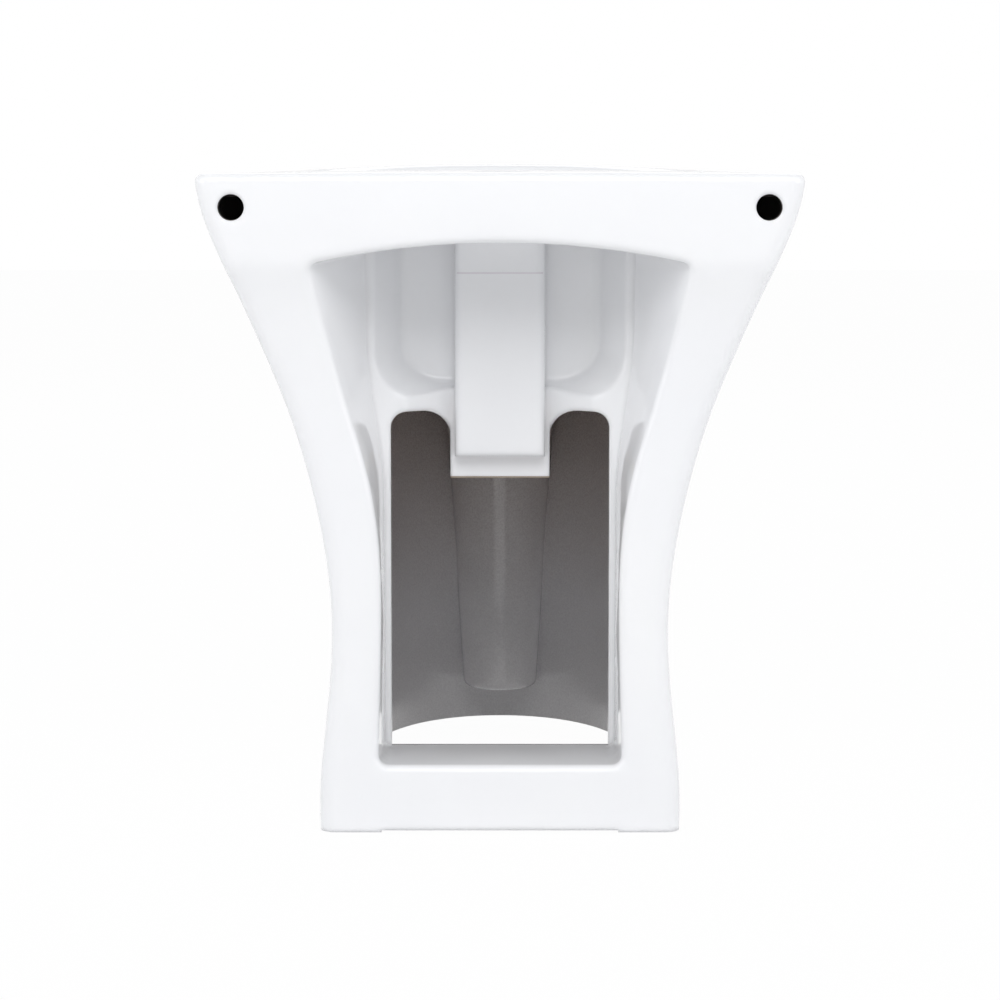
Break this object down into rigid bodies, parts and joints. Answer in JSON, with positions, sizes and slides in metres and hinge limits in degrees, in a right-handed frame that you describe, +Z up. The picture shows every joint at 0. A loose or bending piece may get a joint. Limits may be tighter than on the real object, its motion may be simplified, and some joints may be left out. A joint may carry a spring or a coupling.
{
  "type": "floor-standing bidet",
  "caption": "Floor-standing china bidet: a flared pedestal open at the back, an oval bowl with a hidden overflow channel, a tap hole in the deck and a click-clack plug.",
  "frame": {"origin": "on the floor under the middle of the ware's outline", "axes": "+X to the right of a person facing the front, +Y to the wall behind the ware, +Z up"},
  "size_m": [0.3618, 0.5541, 0.399],
  "materials": {
    "glazed_china": "glossy white glaze",
    "chrome_plate": "polished",
    "seal_rubber": "matt",
    "white_nylon": "satin",
    "plain_brass": "machined",
    "cartridge_plastic": "moulded",
    "spring_steel": "drawn wire",
    "bracket_plastic": "moulded",
    "screw_steel": "stainless",
    "cap_plastic": "gloss"
  },
  "bodies": {
    "ware": {"ceramic_body": "glazed_china", "overflow_ring": "chrome_plate", "waste_body": "chrome_plate", "flange_seal": "seal_rubber", "lower_seal": "seal_rubber", "slip_washer": "white_nylon", "back_nut": "plain_brass", "click_cartridge": "cartridge_plastic", "cartridge_spring": "spring_steel", "left_floor_bracket": "bracket_plastic", "left_fixing_screw": "screw_steel", "left_screw_sleeve": "white_nylon", "left_screw_cap": "cap_plastic", "right_floor_bracket": "bracket_plastic", "right_fixing_screw": "screw_steel", "right_screw_sleeve": "white_nylon", "right_screw_cap": "cap_plastic"},
    "plug": {"plug_cap": "chrome_plate", "plug_seal": "seal_rubber", "plug_stem": "plain_brass"}
  },
  "joints": [
    {"name": "plug_lift", "type": "slide", "parent": "ware", "child": "plug", "axis": [0, 0, 1], "range_m": [0, 0.008], "deforming": ["cartridge_spring"]}
  ]
}
